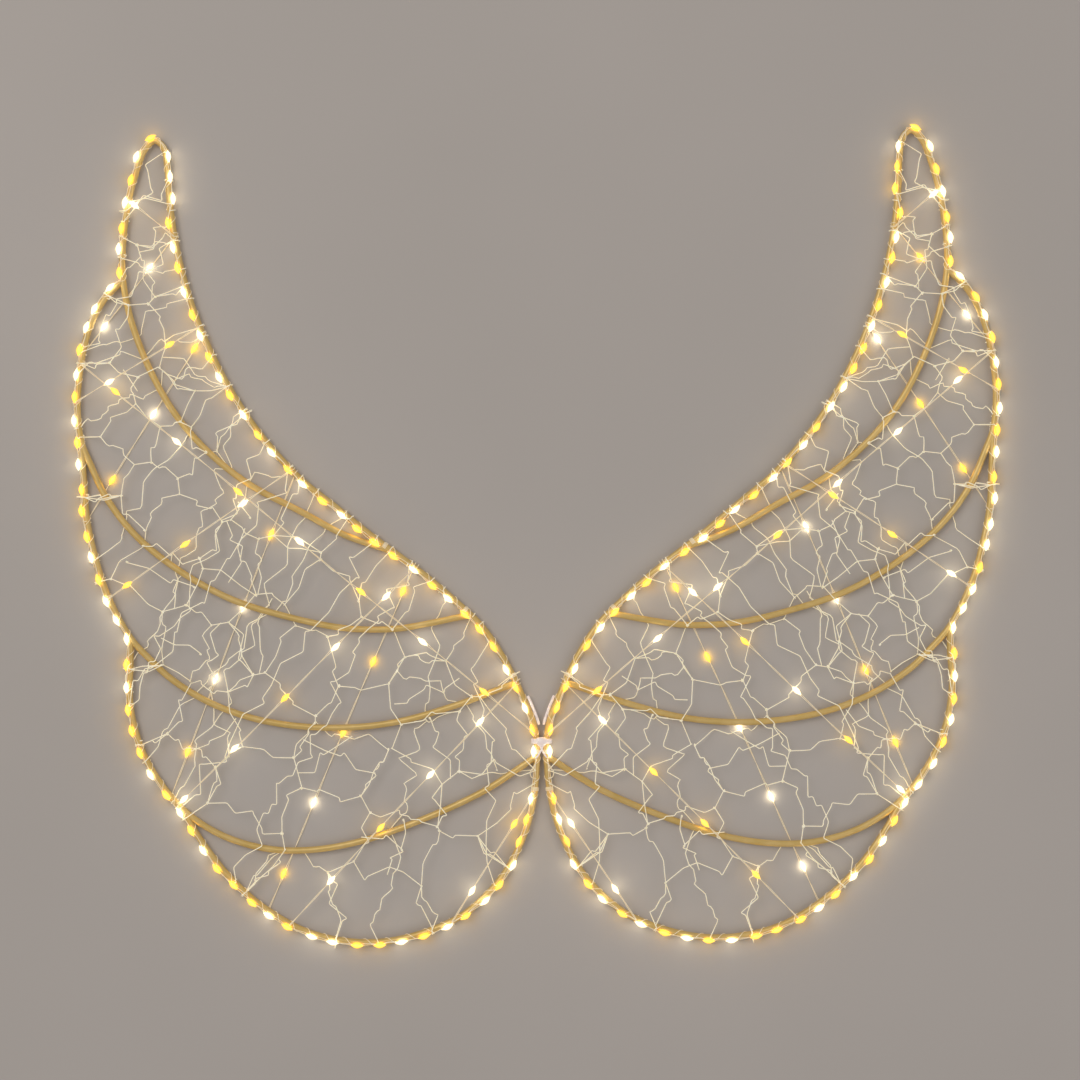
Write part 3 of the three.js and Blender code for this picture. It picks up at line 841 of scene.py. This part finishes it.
def edge_pair(shape, chance):
    """The string's own pair of fine wires, close to the rod on the side of its drops."""
    for wire in range(2):
        phase = chance.uniform(0, 6)
        points = []
        for distance in np.arange(3.0, OUTLINE.length - 3.0, 1.5):
            near = min(abs(drop[0] - distance) for drop in EDGE_DROPS)
            closeness = max(0.0, 1 - near / 5)
            wander = 0.42 * math.sin(distance / (8 + 3 * wire) + phase)
            loose = max(0.0, math.sin(distance / (6 + 1.3 * wire) + 2 * phase)) ** 4
            off = FINE_WIRE_RADIUS + 0.08 + 0.3 * loose * (1 - closeness) + 0.8 * closeness
            turn = drops_side(distance) + wander * (1 - closeness)
            points.append(edge_place(distance, 1, turn, off))
        shape.tube(points, FINE_WIRE_RADIUS, FINE_WIRE_SIDES)


def wound_wire(shape):
    """A wire wound along the outline rod, which holds the string to it."""
    points = []
    for distance in np.arange(4.0, OUTLINE.length - 4.0, 1.2):
        turn = 2 * math.pi * distance / WOUND_WIRE_PITCH + 0.9 * math.sin(distance / 17)
        points.append(edge_place(distance, 1, turn, FINE_WIRE_RADIUS + 0.04))
    shape.tube(points, FINE_WIRE_RADIUS, FINE_WIRE_SIDES)


def coil(shape, middle):
    """A tight coil of wire round the outline rod."""
    points = []
    for turn in np.arange(0, COIL_TURNS, 1 / COIL_STEPS):
        distance = middle + (turn - COIL_TURNS / 2) * COIL_PITCH
        points.append(edge_place(distance, 1, 2 * math.pi * turn, FINE_WIRE_RADIUS + 0.06))
    shape.tube(points, FINE_WIRE_RADIUS, FINE_WIRE_SIDES)


def coil_places():
    """Beside each rib's end on the leading rod, and where the string's last wires are tied on."""
    places = [OUTLINE.length * STRING_END_COIL]
    for rib in RIBS:
        gaps = np.linalg.norm(OUTLINE.points[:, :2] - rib[-1][:2], axis=1)
        places.append(OUTLINE.reached[int(np.argmin(gaps))] + COIL_BESIDE_RIB)
    return places


def edge_tone(number, chance):
    """The string's tones take turns from amber on, with a slip now and then."""
    slip = 0 < number < len(EDGE_DROPS) - 1 and chance.random() < TONE_SLIPS
    white = (number % 2 == 1) != slip
    return WARM_WHITE if white else AMBER


def edge_string():
    wires = Shape()
    edge_pair(wires, random.Random(EDGE_WIRE_SEED))
    wound_wire(wires)
    for place in coil_places():
        coil(wires, place)
    for side in SIDES:
        nodes = [f"edge_light_string_{side}"]
        wires.piece(f"edge_light_wires_{side}", side, FINE_WIRE, "edge_lights", nodes)
        edge_string_drops(side)


def edge_string_drops(side):
    chance = random.Random(TONE_SEED + SIDES.index(side))
    drops = {tone: Shape() for tone in RESIN}
    for number, (distance, way, angle) in enumerate(EDGE_DROPS):
        centre = edge_place(distance, way, angle, DROP_THICKNESS / 2)
        heading = OUTLINE.heading(distance)
        across = unit(OUTLINE.inward(distance) + np.array([0, 0, chance.uniform(-0.3, 0.3)]))
        drops[edge_tone(number, chance)].drop(centre, heading, across)
    for tone, shape in drops.items():
        shape.piece(f"edge_drops_{tone}_{side}", side, RESIN[tone], "edge_lights")


def strands():
    chance = random.Random(STRAND_SEED)
    wires = Shape()
    for strand in STRANDS.values():
        strand_wires(wires, strand, chance)
    for side in SIDES:
        nodes = [f"light_strand_{side}_{name}" for name in STRANDS]
        wires.piece(f"strand_wires_{side}", side, FINE_WIRE, "strand_lights", nodes)
        strand_string_drops(side)


def strand_string_drops(side):
    drops = {tone: Shape() for tone in RESIN}
    for strand in STRANDS.values():
        line = strand_line(strand)
        ahead = line.heading(line.length / 2)
        aside = np.array([-ahead[1], ahead[0], 0.0])
        for distance, letter in zip(strand_drops(strand, line), strand[side]):
            centre = line.at(distance)
            centre[2] = max(centre[2], LOWEST_DROP_Z)
            drops[TONES[letter]].drop(centre, ahead, aside)
    for tone, shape in drops.items():
        shape.piece(f"strand_drops_{tone}_{side}", side, RESIN[tone], "strand_lights")


# The foot: sleeves, curled wire ends and the tie.

SLEEVE_RADIUS = 0.95
SLEEVE_LENGTH = 20.0
SLEEVE_OFFSET = 3.4
SLEEVE_ROOM = 4.95
SLEEVE_RINGS = 15
SLEEVE_MOUTH = 0.8


def sleeve(side):
    """The clear sleeve along the leading rod, on the side that faces the other wing."""
    start = next(d for d in np.arange(0, 60, 0.2) if abs(OUTLINE.at(d)[0]) > SLEEVE_ROOM)
    points = []
    for distance in np.linspace(start, start + SLEEVE_LENGTH, SLEEVE_RINGS):
        points.append(OUTLINE.at(distance) - OUTLINE.inward(distance) * SLEEVE_OFFSET)
    shape = Shape()
    radii = np.full(SLEEVE_RINGS, SLEEVE_RADIUS)
    radii[[0, -1]] *= SLEEVE_MOUTH
    shape.tube(points, radii, 14)
    shape.piece(f"clear_sleeve_{side}", side, CLEAR, "clear_plastic", [f"lead_sleeve_{side}"])


# The bare wire end that curls beside the lower rod, just under the tie.
CURL = [(-3.2, -12, 6.3), (-5.0, -17, 6.9), (-7.4, -20, 7.3), (-6.6, -23.5, 7.1), (-3.6, -24.6, 6.7)]


def curl(side):
    shape = Shape()
    shape.tube(smooth(CURL, 0.6), FINE_WIRE_RADIUS * 1.3, 8)
    shape.piece(f"wire_curl_{side}", side, FINE_WIRE, "strand_lights")


BAND_HALF_LENGTH = 6.95
BAND_RADIUS = 3.35
BAND_THICKNESS = 0.9
BAND_WIDTH = 3.3
KNOT_SIZE = (8.0, 6.2, 5.2)
KNOT_Z = 8.25
TAIL_RADIUS = 0.55
TAILS = [
    [(1.2, 0, 8.9), (0.9, -2.6, 10.2), (-0.2, -5.5, 10.4), (-2.0, -8.6, 10.4), (-3.7, -11, 10.0)],
    [(-1.2, 0, 8.5), (-1.0, -2.4, 9.2), (0.2, -5.3, 9.1), (1.8, -8.2, 9.0), (3.5, -10.6, 8.5)],
]


def band(shape):
    """The flat strap round both leading rods."""
    middle = BAND_HALF_LENGTH - BAND_RADIUS
    radius = BAND_RADIUS - BAND_THICKNESS / 2
    turns = np.linspace(0, 2 * math.pi, 16, endpoint=False)
    high, wide = (np.sign(way) * np.sqrt(np.abs(way)) / 2 for way in (np.cos(turns), np.sin(turns)))
    rings = []
    for centre, first in ((middle, -90), (-middle, 90)):
        for angle in np.radians(np.linspace(first, first + 180, 17)):
            out = np.array([math.cos(angle), 0, math.sin(angle)])
            spine = np.array([centre, 0, ROD_Z]) + out * radius
            thickness = np.outer(high, out) * BAND_THICKNESS
            width = np.outer(wide, (0, 1, 0)) * BAND_WIDTH
            rings.append(spine + thickness + width)
    shape.rings(rings, closed=True)


def knot(shape):
    """The knot, with the strap's turns wound round it."""
    rings = []
    around = np.linspace(0, 2 * math.pi, 40, endpoint=False)
    for rise in np.linspace(-0.47, 0.47, 22) * math.pi:
        turns = 1 + 0.07 * np.sin(3 * around + 9 * rise / math.pi)
        level = math.cos(rise) * turns / 2
        rings.append(np.stack([
            KNOT_SIZE[0] * level * np.cos(around),
            KNOT_SIZE[1] * level * np.sin(around),
            np.full(len(around), KNOT_Z + KNOT_SIZE[2] / 2 * math.sin(rise)),
        ], axis=1))
    shape.rings(rings)


def tie():
    shape = Shape()
    band(shape)
    knot(shape)
    for points in TAILS:
        line = smooth(points, 0.6)
        radii = np.full(len(line), TAIL_RADIUS)
        radii[-1] *= 0.6
        shape.tube(line, radii, 10)
    shape.piece("twist_tie", "left", CLEAR, "clear_plastic", ["centre_tie"])


# The floor, the light and the camera.

PHOTO_WIDTH = 0.7128
PHOTO_CENTRE = (0.00218, -0.00266, 0.004)
LENS = 85
SENSOR = 36
FLOOR_HALF = 30.0
FLOOR_Z = -0.0004


def floor():
    mesh = bpy.data.meshes.new("floor")
    corners = [(x * FLOOR_HALF, y * FLOOR_HALF, FLOOR_Z) for x, y in ((-1, -1), (1, -1), (1, 1), (-1, 1))]
    mesh.from_pydata(corners, [], [(0, 1, 2, 3)])
    mesh.materials.append(pale_floor("pale_floor"))
    ground = bpy.data.objects.new("floor", mesh)
    bpy.context.scene.collection.objects.link(ground)


def area_light(name, place, size, power, colour):
    lamp = bpy.data.lights.new(name, "AREA")
    lamp.shape = "SQUARE"
    lamp.size = size
    lamp.energy = power
    lamp.color = colour
    light = bpy.data.objects.new(name, lamp)
    bpy.context.scene.collection.objects.link(light)
    light.location = place
    aim = -light.location.normalized()
    light.rotation_euler = aim.to_track_quat("-Z", "Y").to_euler()


def lights():
    area_light("soft_key", (-1.2, 0.9, 2.2), 1.6, 22, (1.0, 0.96, 0.9))
    area_light("soft_fill", (1.6, -0.8, 1.8), 2.0, 10, (1.0, 0.97, 0.94))
    world = bpy.data.worlds.new("studio")
    bpy.context.scene.world = world
    world.use_nodes = True
    background = world.node_tree.nodes["Background"]
    background.inputs["Color"].default_value = (0.95, 0.92, 0.9, 1)
    background.inputs["Strength"].default_value = 0.35


def camera():
    data = bpy.data.cameras.new("camera")
    data.lens = LENS
    data.sensor_width = SENSOR
    seen = bpy.data.objects.new("camera", data)
    bpy.context.scene.collection.objects.link(seen)
    height = PHOTO_WIDTH * LENS / SENSOR
    seen.location = (PHOTO_CENTRE[0], PHOTO_CENTRE[1], PHOTO_CENTRE[2] + height)
    bpy.context.scene.camera = seen


def glare():
    """The soft halo that a camera sees round each lit drop."""
    scene = bpy.context.scene
    scene.use_nodes = True
    nodes, links = scene.node_tree.nodes, scene.node_tree.links
    nodes.clear()
    layers = nodes.new("CompositorNodeRLayers")
    halo = nodes.new("CompositorNodeGlare")
    halo.glare_type = "BLOOM"
    halo.inputs["Threshold"].default_value = 0.85
    halo.inputs["Strength"].default_value = 0.6
    halo.inputs["Size"].default_value = 0.2
    result = nodes.new("CompositorNodeComposite")
    links.new(layers.outputs["Image"], halo.inputs["Image"])
    links.new(halo.outputs["Image"], result.inputs["Image"])


def colours_as_lit():
    """Keeps the colours as the lights make them, with no film curve over them."""
    bpy.context.scene.view_settings.view_transform = "Standard"


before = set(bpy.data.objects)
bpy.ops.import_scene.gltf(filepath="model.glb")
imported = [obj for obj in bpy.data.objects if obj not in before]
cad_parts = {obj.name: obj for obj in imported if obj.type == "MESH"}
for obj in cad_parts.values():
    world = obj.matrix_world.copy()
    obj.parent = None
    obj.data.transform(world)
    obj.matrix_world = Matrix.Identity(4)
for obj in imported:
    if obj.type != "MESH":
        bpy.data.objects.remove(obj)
bpy.context.view_layer.update()
camera()
gold_rods()
crinkled_web()
edge_string()
strands()
for wing in SIDES:
    sleeve(wing)
    curl(wing)
tie()
floor()
lights()
glare()
colours_as_lit()
bpy.context.view_layer.update()
